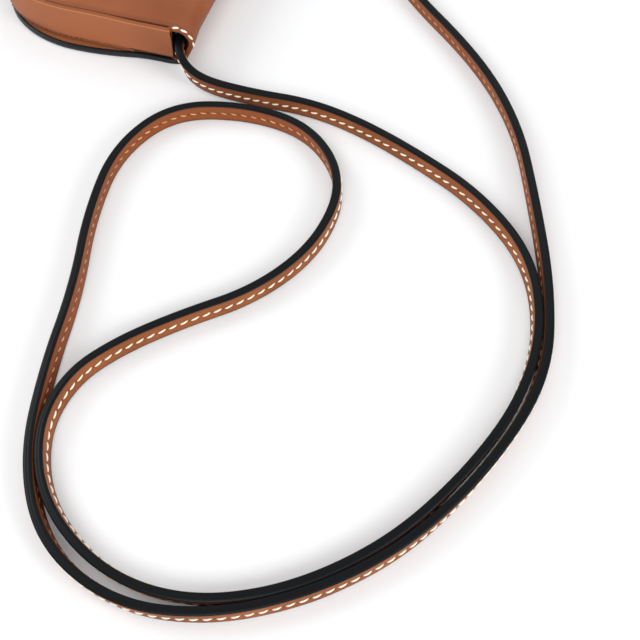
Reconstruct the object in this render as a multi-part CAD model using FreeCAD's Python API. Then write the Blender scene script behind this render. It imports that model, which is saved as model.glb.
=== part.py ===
import FreeCAD, Part
import math
import os

# Crossbody wallet: a slim leather pouch that lies on its flap, and one long flat strap.
# Row frame in millimetres: +Z up, +Y towards the top fold, +X towards the near end.
# The origin is at the middle of the wallet's footprint, on the surface that it lies on.

# Overall size of the wallet
body_width = 118.0
overall_length = 80.0
overall_thickness = 17.5

# Leather, lining and glue
panel_thickness = 1.2
lining_thickness = 0.6
flap_lining_thickness = 0.8
glue_line = 0.05

# Top fold: square at the back, with its nose high and its front tucked in towards the flap
fold_depth = 8.75
fold_corner_radius = 4.6
fold_foot_radius = 3.0
fold_foot_reach = 0.75

# Flap
flap_gap = 0.3
flap_bulge = 2.8
flap_corner_width = 26.0
flap_corner_height = 35.0
flap_neck = 5.0
flap_bow_share = 0.64
flex_gap = 0.2

# Pouch
body_bottom_inset = 0.5
body_corner_width = 19.5
body_corner_height = 34.5
gusset_thickness = 1.0
gusset_lining_thickness = 0.5
gusset_reach = 0.5
border_crease = 0.25
head_length = 7.0
mouth_length = 14.0
mouth_dip = 2.5
fit_gap = 0.1

# Divider and card slips
divider_thickness = 0.7
divider_drop = 6.0
divider_lift = 4.4
thumb_radius = 10.0
thumb_depth = 4.0
slip_thickness = 0.7
slip_gap = 0.3
slip_border = 3.0
slip_side = 13.0
slip_bottom_margin = 7.2
slip_top_drop = 8.0
slip_step = 10.0
slip_corner_radius = 4.0

# Magnetic closure
magnet_radius = 6.0
magnet_thickness = 0.9
magnet_sink = 0.4
keeper_thickness = 0.6
closure_inset = 13.0

# Strap, its tabs and screws
strap_width = 6.5
strap_thickness = 2.65
strap_inset = 6.8
strap_rise = 9.2
strap_hold = 13.0
strap_reach = 3.0
tab_thickness = 1.5
tab_length = 10.0
tab_foot = 11.0
tab_bend_radius = 4.0
screw_head_radius = 2.25
screw_head_thickness = 0.6
screw_post_radius = 1.6
screw_stud_radius = 1.0
screw_play = 0.05

bend_share = 0.45

overrun = 1.0

half_width = body_width / 2
nose_y = overall_length / 2
fold_y = nose_y - fold_depth
flap_bottom_y = -overall_length / 2
body_bottom_y = flap_bottom_y + body_bottom_inset
gusset_total = gusset_thickness + glue_line + gusset_lining_thickness
inner_inset = gusset_total + fit_gap

flap_lining_z = panel_thickness + glue_line
flap_thickness = flap_lining_z + flap_lining_thickness
front_outer_z = flap_thickness + flap_gap
front_inner_z = front_outer_z + panel_thickness
front_lining_z = front_inner_z + glue_line
front_lining_top_z = front_lining_z + lining_thickness
back_inner_z = overall_thickness - panel_thickness
back_lining_top_z = back_inner_z - glue_line
back_lining_z = back_lining_top_z - lining_thickness
gusset_bottom_z = front_inner_z + glue_line
gusset_head_z = back_inner_z - glue_line
head_y = fold_y - head_length
mouth_y = fold_y - mouth_length
closure_y = flap_bottom_y + closure_inset
strap_y = nose_y - strap_inset
strap_z = strap_rise
slip_width = body_width - 2 * slip_side


def save(name, shape):
    shape.exportStep("parts/%s.step" % name)
    print("%-18s %9.1f mm3 valid %s solids %d" % (name, shape.Volume, shape.isValid(), len(shape.Solids)))


def box(low, high):
    size = high - low
    return Part.makeBox(size.x, size.y, size.z, low)


def disc(radius, height, x, y, z):
    return Part.makeCylinder(radius, height, FreeCAD.Vector(x, y, z))


def arc_edge(start, middle, end):
    return Part.Arc(start, middle, end).toShape()


def line_edge(start, end):
    return Part.LineSegment(start, end).toShape()


def corner_edge(side, x, y, width, height, z):
    """Quarter of an upright ellipse that rounds a bottom corner, with its widest point at x and its lowest at y."""
    centre = FreeCAD.Vector(side * (x - width), y + height, z)
    tall = centre + FreeCAD.Vector(0, height, 0)
    wide = centre + FreeCAD.Vector(width, 0, 0)
    ellipse = Part.Ellipse(tall, wide, centre)
    if side > 0:
        return Part.ArcOfEllipse(ellipse, math.pi / 2, math.pi).toShape()
    return Part.ArcOfEllipse(ellipse, math.pi, 3 * math.pi / 2).toShape()


def pouch_face(inset, top_y, z, dip=0.0):
    """U-shaped outline of the pouch, drawn in by inset, closed straight or dipped across the top."""
    x = half_width - inset
    low = body_bottom_y + inset
    width = body_corner_width - inset
    height = body_corner_height - inset
    right_top = FreeCAD.Vector(x, top_y, z)
    right_low = FreeCAD.Vector(x, low + height, z)
    right_foot = FreeCAD.Vector(x - width, low, z)
    left_foot = FreeCAD.Vector(-x + width, low, z)
    left_low = FreeCAD.Vector(-x, low + height, z)
    left_top = FreeCAD.Vector(-x, top_y, z)
    edges = [
        line_edge(right_top, right_low),
        corner_edge(1, x, low, width, height, z),
        line_edge(right_foot, left_foot),
        corner_edge(-1, x, low, width, height, z),
        line_edge(left_low, left_top),
    ]
    if dip > 0:
        edges.append(arc_edge(left_top, FreeCAD.Vector(0, top_y - dip, z), right_top))
    else:
        edges.append(line_edge(left_top, right_top))
    return Part.Face(Part.Wire(edges))


def pouch_plate(inset, top_y, low_z, high_z, dip=0.0):
    return pouch_face(inset, top_y, low_z, dip).extrude(FreeCAD.Vector(0, 0, high_z - low_z))


def flap_face(z):
    """Flap outline: a straight neck, then sides that swing out to their widest above the round corners."""
    top_y = fold_y - flex_gap
    neck_y = top_y - flap_neck
    wide_x = half_width + flap_bulge
    corner_y = flap_bottom_y + flap_corner_height
    drop = neck_y - corner_y
    radii_sum = (drop * drop + flap_bulge * flap_bulge) / (2 * flap_bulge)
    turn = math.asin(drop / radii_sum)
    bow_radius = flap_bow_share * radii_sum
    sweep_radius = radii_sum - bow_radius
    foot_x = wide_x - flap_corner_width

    def at(side, x, y):
        return FreeCAD.Vector(side * x, y, z)

    def on_sweep(side, angle):
        x = half_width + sweep_radius * (1 - math.cos(angle))
        return at(side, x, neck_y - sweep_radius * math.sin(angle))

    def on_bow(side, angle):
        return at(side, wide_x - bow_radius * (1 - math.cos(angle)), corner_y + bow_radius * math.sin(angle))

    edges = []
    for side in (1, -1):
        corner = at(side, wide_x, corner_y)
        edges += [
            line_edge(at(side, half_width, top_y), at(side, half_width, neck_y)),
            arc_edge(at(side, half_width, neck_y), on_sweep(side, turn / 2), on_bow(side, turn)),
            arc_edge(on_bow(side, turn), on_bow(side, turn / 2), corner),
            corner_edge(side, wide_x, flap_bottom_y, flap_corner_width, flap_corner_height, z),
        ]
    edges.append(line_edge(at(1, foot_x, flap_bottom_y), at(-1, foot_x, flap_bottom_y)))
    edges.append(line_edge(at(1, half_width, top_y), at(-1, half_width, top_y)))
    return Part.Face(Part.Wire(Part.__sortEdges__(edges)))


def fold_section(depth):
    """Corners and middles of the fold's outline at this depth inside its outer face."""
    top = FreeCAD.Vector(0, nose_y - fold_corner_radius, overall_thickness - fold_corner_radius)
    foot = FreeCAD.Vector(0, fold_y + fold_foot_reach, fold_foot_radius)
    across = top - foot
    tuck = math.acos((fold_foot_radius - fold_corner_radius) / across.Length) - math.atan2(across.z, across.y)

    def on(centre, radius, angle):
        return centre + FreeCAD.Vector(0, math.cos(angle), math.sin(angle)) * (radius - depth)

    return [
        FreeCAD.Vector(0, fold_y, overall_thickness - depth),
        on(top, fold_corner_radius, math.pi / 2),
        on(top, fold_corner_radius, (math.pi / 2 - tuck) / 2),
        on(top, fold_corner_radius, -tuck),
        on(foot, fold_foot_radius, -tuck),
        on(foot, fold_foot_radius, (-math.pi / 2 - tuck) / 2),
        on(foot, fold_foot_radius, -math.pi / 2),
        FreeCAD.Vector(0, fold_y, depth),
    ]


def fold_shell(depth, wall):
    """Folded leaf of leather about the fold, open at both ends, between the back and the flap."""
    edges = []
    for points in (fold_section(depth), fold_section(depth + wall)):
        edges += [
            line_edge(points[0], points[1]),
            arc_edge(points[1], points[2], points[3]),
            line_edge(points[3], points[4]),
            arc_edge(points[4], points[5], points[6]),
            line_edge(points[6], points[7]),
        ]
    outer = fold_section(depth)
    inner = fold_section(depth + wall)
    edges += [line_edge(outer[0], inner[0]), line_edge(outer[-1], inner[-1])]
    face = Part.Face(Part.Wire(Part.__sortEdges__(edges)))
    face.translate(FreeCAD.Vector(-half_width, 0, 0))
    return face.extrude(FreeCAD.Vector(body_width, 0, 0))


def make_back_panel():
    """Back leather, drawn in beside the gusset's border and full width at its head by the fold."""
    sheet = pouch_plate(gusset_total + border_crease, fold_y, back_inner_z, overall_thickness)
    head = box(
        FreeCAD.Vector(-half_width, head_y, back_inner_z),
        FreeCAD.Vector(half_width, fold_y, overall_thickness),
    )
    return sheet.fuse(head).removeSplitter()


def make_top_fold():
    """Leather that carries the back over to the flap."""
    return fold_shell(0.0, panel_thickness)


def make_fold_lining():
    return fold_shell(panel_thickness + glue_line, lining_thickness)


def make_back_lining():
    return pouch_plate(inner_inset, fold_y, back_lining_z, back_lining_top_z)


def make_front_panel():
    """Front leather under the flap, with a shallow dip at its mouth and a seat for the keeper."""
    sheet = pouch_plate(0.0, mouth_y, front_outer_z, front_inner_z, mouth_dip)
    seat = disc(magnet_radius + fit_gap, keeper_thickness + overrun, 0, closure_y, front_inner_z - keeper_thickness)
    return sheet.cut(seat)


def make_front_lining():
    return pouch_plate(inner_inset, mouth_y, front_lining_z, front_lining_top_z, mouth_dip)


def wall(outset, thickness, low_z, high_z):
    """U-shaped wall that runs down one side, round the bottom and up the other."""
    outer = pouch_plate(outset, fold_y, low_z, high_z)
    inner = pouch_plate(outset + thickness, fold_y + overrun, low_z - overrun, high_z + overrun)
    return outer.cut(inner)


def wall_ends(outset, thickness):
    """Short ends of the wall that reach into the fold beside the strap."""
    low_z = gusset_bottom_z
    high_z = overall_thickness - panel_thickness - glue_line - lining_thickness - fit_gap
    x = half_width - outset
    ends = []
    for side_x in (x - thickness, -x):
        ends.append(box(
            FreeCAD.Vector(side_x, fold_y, low_z),
            FreeCAD.Vector(side_x + thickness, fold_y + gusset_reach, high_z),
        ))
    return ends


def make_gusset():
    """Running gusset: its turned border frames the back, and drops under the back's wide head."""
    sheet = wall(0.0, gusset_total, gusset_bottom_z, overall_thickness)
    hollow = pouch_plate(gusset_thickness, fold_y + overrun, gusset_bottom_z - overrun, gusset_head_z)
    drop = box(
        FreeCAD.Vector(-half_width - overrun, head_y - border_crease, gusset_head_z),
        FreeCAD.Vector(half_width + overrun, fold_y + overrun, overall_thickness + overrun),
    )
    shape = sheet.cut(hollow).cut(drop)
    for end in wall_ends(0.0, gusset_thickness):
        shape = shape.fuse(end)
    return shape.removeSplitter()


def make_gusset_lining():
    shape = wall(gusset_thickness + glue_line, gusset_lining_thickness, gusset_bottom_z, gusset_head_z - fit_gap)
    for end in wall_ends(gusset_thickness + glue_line, gusset_lining_thickness):
        shape = shape.fuse(end)
    return shape.removeSplitter()


def thumb_cut(top_y, low_z, high_z):
    """Shallow round cut at the middle of an edge, where a thumb reaches the card."""
    centre_y = top_y + thumb_radius - thumb_depth
    return disc(thumb_radius, high_z - low_z + 2 * overrun, 0, centre_y, low_z - overrun)


def make_divider():
    """Centre partition, carried by the gusset on three sides."""
    low_z = front_lining_top_z + divider_lift
    high_z = low_z + divider_thickness
    top_y = fold_y - divider_drop
    return pouch_plate(inner_inset, top_y, low_z, high_z).cut(thumb_cut(top_y, low_z, high_z))


def make_card_slip(order):
    """Card slip sewn under the layer above it along both sides and the bottom."""
    top_z = back_lining_z - order * (slip_thickness + slip_gap)
    sheet_z = top_z - slip_gap
    low_z = sheet_z - slip_thickness
    top_y = fold_y - slip_top_drop - order * slip_step
    low_y = body_bottom_y + slip_bottom_margin
    half = slip_width / 2
    slab = box(FreeCAD.Vector(-half, low_y, low_z), FreeCAD.Vector(half, top_y, top_z))
    upright = [edge for edge in slab.Edges if abs(edge.Vertexes[0].Z - edge.Vertexes[1].Z) > slip_gap]
    slab = slab.makeFillet(slip_corner_radius, [edge for edge in upright if edge.Vertexes[0].Y < top_y - slip_gap])
    pocket = box(
        FreeCAD.Vector(-half + slip_border, low_y + slip_border, sheet_z),
        FreeCAD.Vector(half - slip_border, top_y + overrun, top_z + overrun),
    )
    return slab.cut(pocket).cut(thumb_cut(top_y, low_z, top_z))


def make_flap_panel():
    seat = disc(magnet_radius + fit_gap, magnet_sink + overrun, 0, closure_y, panel_thickness - magnet_sink)
    return flap_face(0.0).extrude(FreeCAD.Vector(0, 0, panel_thickness)).cut(seat)


def make_flap_lining():
    sheet = flap_face(flap_lining_z).extrude(FreeCAD.Vector(0, 0, flap_lining_thickness))
    seat_top = panel_thickness - magnet_sink + magnet_thickness + glue_line
    seat = disc(magnet_radius + fit_gap, seat_top, 0, closure_y, 0)
    return sheet.cut(seat)


def make_flap_magnet():
    return disc(magnet_radius, magnet_thickness, 0, closure_y, panel_thickness - magnet_sink)


def make_keeper_plate():
    return disc(magnet_radius, keeper_thickness, 0, closure_y, front_inner_z - keeper_thickness)


def screw_x():
    return half_width - gusset_total - fit_gap - tab_length / 2


def make_strap_tab(side):
    """Leather tab: its foot is sewn under the back lining, its leg stands beside the strap's end."""
    top_z = back_lining_z - glue_line
    leg_y = strap_y - strap_thickness / 2
    centre_y = leg_y - tab_bend_radius
    centre_z = top_z - tab_bend_radius
    inner_radius = tab_bend_radius - tab_thickness
    low_z = strap_z - strap_width / 2
    foot_y = centre_y - tab_foot
    x = screw_x() - tab_length / 2 if side > 0 else -screw_x() - tab_length / 2
    lean = math.sqrt(0.5)

    def at(y, z):
        return FreeCAD.Vector(x, y, z)

    edges = [
        line_edge(at(foot_y, top_z), at(centre_y, top_z)),
        arc_edge(
            at(centre_y, top_z),
            at(centre_y + tab_bend_radius * lean, centre_z + tab_bend_radius * lean),
            at(leg_y, centre_z),
        ),
        line_edge(at(leg_y, centre_z), at(leg_y, low_z)),
        line_edge(at(leg_y, low_z), at(leg_y - tab_thickness, low_z)),
        line_edge(at(leg_y - tab_thickness, low_z), at(leg_y - tab_thickness, centre_z)),
        arc_edge(
            at(leg_y - tab_thickness, centre_z),
            at(centre_y + inner_radius * lean, centre_z + inner_radius * lean),
            at(centre_y, top_z - tab_thickness),
        ),
        line_edge(at(centre_y, top_z - tab_thickness), at(foot_y, top_z - tab_thickness)),
        line_edge(at(foot_y, top_z - tab_thickness), at(foot_y, top_z)),
    ]
    shape = Part.Face(Part.Wire(edges)).extrude(FreeCAD.Vector(tab_length, 0, 0))
    return shape.cut(screw_hole(side))


def along_y(radius, length, x, y, z):
    return Part.makeCylinder(radius, length, FreeCAD.Vector(x, y, z), FreeCAD.Vector(0, 1, 0))


def screw_hole(side):
    length = strap_thickness + tab_thickness + 2 * overrun
    low_y = strap_y - strap_thickness / 2 - tab_thickness - overrun
    return along_y(screw_post_radius + screw_play, length, side * screw_x(), low_y, strap_z)


def make_screw_posts():
    """Two flanged posts whose heads bear on the strap, each with a blind bore for the stud."""
    head_y = strap_y + strap_thickness / 2
    grip = strap_thickness + tab_thickness
    solids = []
    for side in (1, -1):
        x = side * screw_x()
        head = along_y(screw_head_radius, screw_head_thickness, x, head_y, strap_z)
        post = along_y(screw_post_radius, grip, x, head_y - grip, strap_z)
        bore = along_y(screw_stud_radius + screw_play, strap_thickness, x, head_y - grip, strap_z)
        solids.append(head.fuse(post).removeSplitter().cut(bore))
    return Part.makeCompound(solids)


def make_screw_caps():
    """Two screws whose heads bear on the tabs, with studs that turn into the posts."""
    face_y = strap_y - strap_thickness / 2 - tab_thickness
    solids = []
    for side in (1, -1):
        x = side * screw_x()
        head = along_y(screw_head_radius, screw_head_thickness, x, face_y - screw_head_thickness, strap_z)
        stud = along_y(screw_stud_radius, strap_thickness - fit_gap, x, face_y, strap_z)
        solids.append(head.fuse(stud).removeSplitter())
    return Part.makeCompound(solids)


def strap_route():
    """Middle of the strap's section: both ends follow the wallet, the rest lies as it is found."""
    lie_z = strap_width / 2
    near_end = (half_width - strap_hold, strap_y, strap_z)
    near_mouth = (half_width + strap_reach, strap_y, strap_z)
    far_mouth = (-near_mouth[0], strap_y, strap_z)
    far_end = (-near_end[0], strap_y, strap_z)
    lying = [
        (68.3, 68.0), (67.6, 84.0), (71.0, 102.1), (78.2, 122.6), (89.4, 147.2), (107.9, 167.7),
        (133.0, 176.9), (158.0, 176.0), (183.9, 167.0), (208.3, 152.9), (227.9, 131.3), (238.5, 107.0),
        (236.3, 82.5), (222.4, 61.6), (203.4, 51.0), (185.5, 51.1), (171.9, 59.7), (157.7, 74.1),
        (142.2, 93.4), (120.7, 105.1), (96.0, 105.4), (78.0, 89.1), (74.3, 65.9), (81.0, 40.7),
        (103.0, 29.9), (130.0, 32.6), (157.0, 40.1), (185.0, 43.8), (212.7, 50.8), (234.3, 66.2),
        (243.8, 91.0), (239.7, 116.1), (225.7, 139.4), (205.7, 158.8), (177.6, 173.7), (147.0, 181.6),
        (117.6, 175.7), (86.2, 163.8), (58.2, 151.7), (33.7, 132.8), (11.0, 106.9), (-13.0, 85.0),
        (-38.0, 76.5), (-57.0, 72.5), (-67.5, 63.5),
    ]
    points = [near_end, near_mouth, (66.9, 41.0, 6.2), (69.4, 53.5, 3.7)]
    points += [(x, y, lie_z) for x, y in lying]
    points += [(-69.0, 52.5, 3.7), (-66.9, 41.0, 6.2), far_mouth, far_end]
    return [FreeCAD.Vector(*point) for point in points]


def strap_path():
    """Straight runs joined by tangent arcs, each as large as its two runs allow."""
    points = strap_route()
    edges = []
    radii = []
    last = points[0]
    for before, corner, after in zip(points, points[1:], points[2:]):
        back = before - corner
        ahead = after - corner
        turn = math.pi - back.getAngle(ahead)
        reach = bend_share * min(back.Length, ahead.Length)
        radii.append(reach / math.tan(turn / 2))
        start = corner + back.normalize() * reach
        end = corner + ahead.normalize() * reach
        bisector = (back + ahead).normalize()
        middle = corner + bisector * (radii[-1] / math.cos(turn / 2) - radii[-1])
        edges.append(line_edge(last, start))
        edges.append(arc_edge(start, middle, end))
        last = end
    edges.append(line_edge(last, points[-1]))
    print("strap radii " + " ".join("%.0f" % radius for radius in radii))
    return Part.Wire(edges)


def make_strap():
    """Flat strap of two plies that stands on its long edge, with a hole at each end for its screw."""
    path = strap_path()
    start = strap_route()[0]
    half_t = strap_thickness / 2
    half_w = strap_width / 2
    corners = [
        FreeCAD.Vector(start.x, start.y + side * half_t, start.z + up * half_w)
        for side, up in ((1, 1), (-1, 1), (-1, -1), (1, -1))
    ]
    section = Part.Wire([line_edge(a, b) for a, b in zip(corners, corners[1:] + corners[:1])])
    sweep = Part.BRepOffsetAPI.MakePipeShell(path)
    sweep.setBiNormalMode(FreeCAD.Vector(0, 0, 1))
    sweep.add(section)
    sweep.build()
    sweep.makeSolid()
    shape = Part.Solid(Part.Shell(sweep.shape().Faces))
    expected = strap_width * strap_thickness * path.Length
    print("strap length %.1f mm, volume share of section times length %.4f" % (path.Length, shape.Volume / expected))
    print("strap lowest point %.4f" % shape.BoundBox.ZMin)
    return shape.cut(screw_hole(1)).cut(screw_hole(-1))


os.makedirs("parts", exist_ok=True)
save("back_panel", make_back_panel())
save("top_fold", make_top_fold())
save("fold_lining", make_fold_lining())
save("back_lining", make_back_lining())
save("front_panel", make_front_panel())
save("front_lining", make_front_lining())
save("gusset", make_gusset())
save("gusset_lining", make_gusset_lining())
save("divider", make_divider())
save("card_slip_upper", make_card_slip(0))
save("card_slip_lower", make_card_slip(1))
save("keeper_plate", make_keeper_plate())
save("flap_panel", make_flap_panel())
save("flap_lining", make_flap_lining())
save("flap_magnet", make_flap_magnet())
save("strap_tab_near", make_strap_tab(1))
save("strap_tab_far", make_strap_tab(-1))
save("screw_posts", make_screw_posts())
save("screw_caps", make_screw_caps())
save("strap", make_strap())
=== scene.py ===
import bpy
import bmesh
import math
import numpy as np
from mathutils import Matrix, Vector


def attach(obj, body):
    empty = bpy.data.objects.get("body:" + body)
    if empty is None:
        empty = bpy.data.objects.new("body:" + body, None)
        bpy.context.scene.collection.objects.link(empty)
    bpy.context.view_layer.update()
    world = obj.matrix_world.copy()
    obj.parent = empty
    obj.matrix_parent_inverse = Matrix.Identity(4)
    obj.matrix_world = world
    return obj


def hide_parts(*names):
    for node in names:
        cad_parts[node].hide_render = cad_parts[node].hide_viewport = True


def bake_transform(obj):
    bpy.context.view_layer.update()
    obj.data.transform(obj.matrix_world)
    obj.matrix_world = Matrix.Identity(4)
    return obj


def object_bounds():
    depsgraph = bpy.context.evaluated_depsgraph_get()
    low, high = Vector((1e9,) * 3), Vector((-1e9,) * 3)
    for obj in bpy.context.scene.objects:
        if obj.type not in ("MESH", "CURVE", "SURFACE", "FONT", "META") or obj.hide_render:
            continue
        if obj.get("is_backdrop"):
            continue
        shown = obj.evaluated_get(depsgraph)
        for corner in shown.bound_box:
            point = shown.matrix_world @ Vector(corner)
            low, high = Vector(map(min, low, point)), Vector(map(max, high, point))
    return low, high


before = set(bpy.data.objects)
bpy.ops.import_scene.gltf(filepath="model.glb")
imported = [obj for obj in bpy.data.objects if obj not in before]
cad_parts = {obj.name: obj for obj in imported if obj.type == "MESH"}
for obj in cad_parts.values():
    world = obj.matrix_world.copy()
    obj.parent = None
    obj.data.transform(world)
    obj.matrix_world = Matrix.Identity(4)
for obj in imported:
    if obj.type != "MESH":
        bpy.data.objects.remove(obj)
cadLow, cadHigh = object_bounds()
print("frame: %d nodes" % len(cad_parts))

# Crossbody wallet. Sizes are in millimetres and turned to metres where a mesh or a place is set.
mm = 0.001

# ---- shader maths ----


class Wire:
    # one output of a node tree, so that a sum of wires adds its Math nodes
    def __init__(self, tree, socket=None):
        self.tree = tree
        self.socket = socket

    def node(self, kind, settings=None, inputs=None, output=0):
        made = self.tree.nodes.new(kind)
        for key, value in (settings or {}).items():
            setattr(made, key, value)
        for key, value in (inputs or {}).items():
            if isinstance(value, Wire):
                self.tree.links.new(value.socket, made.inputs[key])
            else:
                made.inputs[key].default_value = value
        return Wire(self.tree, made.outputs[output])

    def maths(self, operation, first, second):
        return self.node("ShaderNodeMath", {"operation": operation}, {0: first, 1: second})

    def __add__(self, other):
        return self.maths("ADD", self, other)

    def __sub__(self, other):
        return self.maths("SUBTRACT", self, other)

    def __rsub__(self, other):
        return self.maths("SUBTRACT", other, self)

    def __mul__(self, other):
        return self.maths("MULTIPLY", self, other)

    def rise(self, low, high):
        # 0 below low, 1 above high, an even S between
        return self.node("ShaderNodeMapRange", {"interpolation_type": "SMOOTHSTEP"},
                         {"Value": self, "From Min": low, "From Max": high})

    def blend(self, first, second):
        # first where this wire is 0, second where it is 1
        return self.node("ShaderNodeMix", {"data_type": "RGBA"}, {0: self, 6: first, 7: second}, 2)

    def noise(self, place, scale, detail, rough=0.5):
        return self.node("ShaderNodeTexNoise", {"noise_dimensions": "3D"},
                         {"Vector": place, "Scale": scale, "Detail": detail, "Roughness": rough})

    def share(self, name):
        # an attribute of the mesh, from 0 to 1
        return self.node("ShaderNodeAttribute", {"attribute_name": name}, output="Fac")

    def bump(self, size, strength, height):
        return self.node("ShaderNodeBump", None, {"Strength": strength, "Distance": size, "Height": height})


def ink(text):
    # a written colour, from its two-digit pairs to linear light
    parts = [int(text[i:i + 2], 16) / 255 for i in (0, 2, 4)]
    linear = [p / 12.92 if p <= 0.04045 else ((p + 0.055) / 1.055) ** 2.4 for p in parts]
    return (*linear, 1.0)


def startMaterial(name, fixed):
    material = bpy.data.materials.new(name)
    material.use_nodes = True
    shader = material.node_tree.nodes["Principled BSDF"]
    for key, value in fixed.items():
        shader.inputs[key].default_value = value
    return material, shader, Wire(material.node_tree)


def feed(shader, links):
    for key, wire in links.items():
        wire.tree.links.new(wire.socket, shader.inputs[key])


# what all leathers, all threads and all metals have in common: lengths in metres, scales per metre
hide = {"sheenRough": 0.6, "detail": 3.0, "poreNoise": 0.6, "ragged": 0.5,
        "paintRise": (0.4, 0.6), "cloudRise": (0.3, 0.7), "poreRise": (0.3, 0.75), "cellRise": (0.0, 0.35),
        "cellShare": 0.6, "poreShare": 0.4, "paintFlat": 0.8, "bump": 0.00012, "cloudRough": 0.12,
        "poreRough": 0.1}
twine = {"shine": 0.35, "sheen": 0.2, "detail": 2.0, "speckScale": 3200.0, "speckNoise": 0.6, "broadScale": 90.0,
         "speckRise": (0.3, 0.8), "speckShare": 0.35, "fadeRise": (0.45, 0.75), "bump": 0.00008, "strength": 0.4,
         "rough": 0.5, "speckRough": 0.2}
plate = {"stretch": (900.0, 9000.0, 900.0), "detail": 3.0, "brushNoise": 0.6, "bump": 0.00003, "strength": 0.15,
         "brushRough": 0.2}


def leather(name, look):
    # two close tones in soft clouds, fine pores, a rim colour and a second tone where the piece says so, and paint
    # where the piece says so; darker rims are partly painted shade, on the gusset the rim is a painted highlight
    # and the second tone painted shade, and the paint inside the fold's mouth is partly painted shade
    material, shader, w = startMaterial(name, {
        "Specular IOR Level": look["shine"], "Sheen Weight": look["sheen"], "Sheen Roughness": hide["sheenRough"]})
    place = w.node("ShaderNodeTexCoord", output="Object")
    cloud = w.noise(place, look["cloudScale"], hide["detail"])
    pores = w.noise(place, look["poreScale"], hide["detail"], hide["poreNoise"])
    creases = w.node("ShaderNodeTexVoronoi", {"feature": "DISTANCE_TO_EDGE"},
                     {"Vector": place, "Scale": look["cellScale"]})
    mask = (w.share("paint") + (pores - 0.5) * hide["ragged"]).rise(*hide["paintRise"])
    base = cloud.rise(*hide["cloudRise"]).blend(ink(look["dark"]), ink(look["light"]))
    base = w.share("tone").blend(base, ink(look["second"]))
    base = (pores.rise(*hide["poreRise"]) * look["mottle"]).blend(base, ink(look["dark"]))
    base = (w.share("rim").rise(0.0, 1.0) * look["rimMix"]).blend(base, ink(look["rim"]))
    base = mask.blend(base, ink(look["paint"]))
    grain = creases.rise(*hide["cellRise"]) * hide["cellShare"] + pores * hide["poreShare"]
    bump = w.bump(hide["bump"], look["grain"], grain * (1.0 - mask * hide["paintFlat"]))
    rough = (cloud - 0.5) * hide["cloudRough"] + (pores - 0.5) * hide["poreRough"] + look["rough"]
    rough = rough * (1.0 - mask) + mask * look["paintRough"]
    feed(shader, {"Base Color": base, "Roughness": rough, "Normal": bump})
    return material


def thread(name, look):
    # waxed thread: fine lines of the twisted thread, and painted shade towards both ends of each stitch, where it
    # sinks into the leather
    material, shader, w = startMaterial(name, {"Specular IOR Level": twine["shine"],
                                               "Sheen Weight": twine["sheen"]})
    place = w.node("ShaderNodeTexCoord", output="Object")
    speck = w.noise(place, twine["speckScale"], twine["detail"], twine["speckNoise"])
    broad = w.noise(place, twine["broadScale"], twine["detail"])
    base = (speck.rise(*twine["speckRise"]) * twine["speckShare"]).blend(ink(look["light"]), ink(look["dark"]))
    # painted shade towards the ends of each stitch
    base = (w.share("sinkShade") * look["sinkShadeShare"]).blend(base, ink(look["dark"]))
    base = (broad.rise(*twine["fadeRise"]) * look["fade"]).blend(base, ink(look["faded"]))
    feed(shader, {"Base Color": base, "Roughness": speck * twine["speckRough"] + twine["rough"],
                  "Normal": w.bump(twine["bump"], twine["strength"], speck)})
    return material


def metal(name, look):
    # turned and plated metal with faint brushing
    material, shader, w = startMaterial(name, {"Metallic": 1.0})
    place = w.node("ShaderNodeTexCoord", output="Object")
    stretched = w.node("ShaderNodeMapping", None, {"Vector": place, "Scale": plate["stretch"]})
    brush = w.noise(stretched, 1.0, plate["detail"], plate["brushNoise"])
    feed(shader, {"Base Color": brush.blend(ink(look["dark"]), ink(look["light"])),
                  "Roughness": brush * plate["brushRough"] + look["rough"],
                  "Normal": w.bump(plate["bump"], plate["strength"], brush)})
    return material


# leaves darken towards their edges by rimMix: partly burnished edges, partly painted shade where a leaf meets
# another part, as the back does in the crease beside the gusset
tanLook = {"dark": "88492A", "light": "9A5834", "second": "A8643C", "rim": "62341B", "paint": "0D1114",
           "cloudScale": 28.0, "poreScale": 1900.0, "cellScale": 1500.0, "mottle": 0.16, "rimMix": 0.4,
           "rough": 0.5, "grain": 0.35, "shine": 0.26, "sheen": 0.0, "paintRough": 0.42}
# the gusset is a lighter copy of the tan, partly painted light on the wall that faces the key lamp; its rim colour
# is a painted highlight along the border's outer edge, and its second tone is painted shade on the border's upward
# face
gussetLook = dict(tanLook, dark="96542F", light="A7623C", second="8A4D2D", rim="C98C66", rimMix=0.8)
liningLook = dict(tanLook, dark="8A4C26", light="9C5A31", rim="6C3B1E", grain=0.5, rough=0.7, shine=0.2,
                  sheen=0.05, mottle=0.25)
strapLook = dict(tanLook, dark="864C29", light="985A34", second="8E4E2B", rim="5A2D17", rimMix=0.6,
                 cloudScale=60.0, paint="080C0F", shine=0.16)
paintLook = dict(tanLook, dark="0C1118", light="141B22", second="141B22", rim="0C1118", mottle=0.3, rough=0.27,
                 grain=0.12, shine=0.36)
tanLeather = leather("tanLeather", tanLook)
gussetLeather = leather("gussetLeather", gussetLook)
liningLeather = leather("liningLeather", liningLook)
strapLeather = leather("strapLeather", strapLook)
edgePaint = leather("edgePaint", paintLook)
creamThread = thread("creamThread", {"light": "FFF8E6", "dark": "DCBF92", "faded": "F7E6C4", "sinkShadeShare": 0.3,
                                     "fade": 0.25})
amberThread = thread("amberThread", {"light": "DA9A68", "dark": "A0603A", "faded": "EBC49A", "sinkShadeShare": 0.4,
                                     "fade": 0.8})
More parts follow.
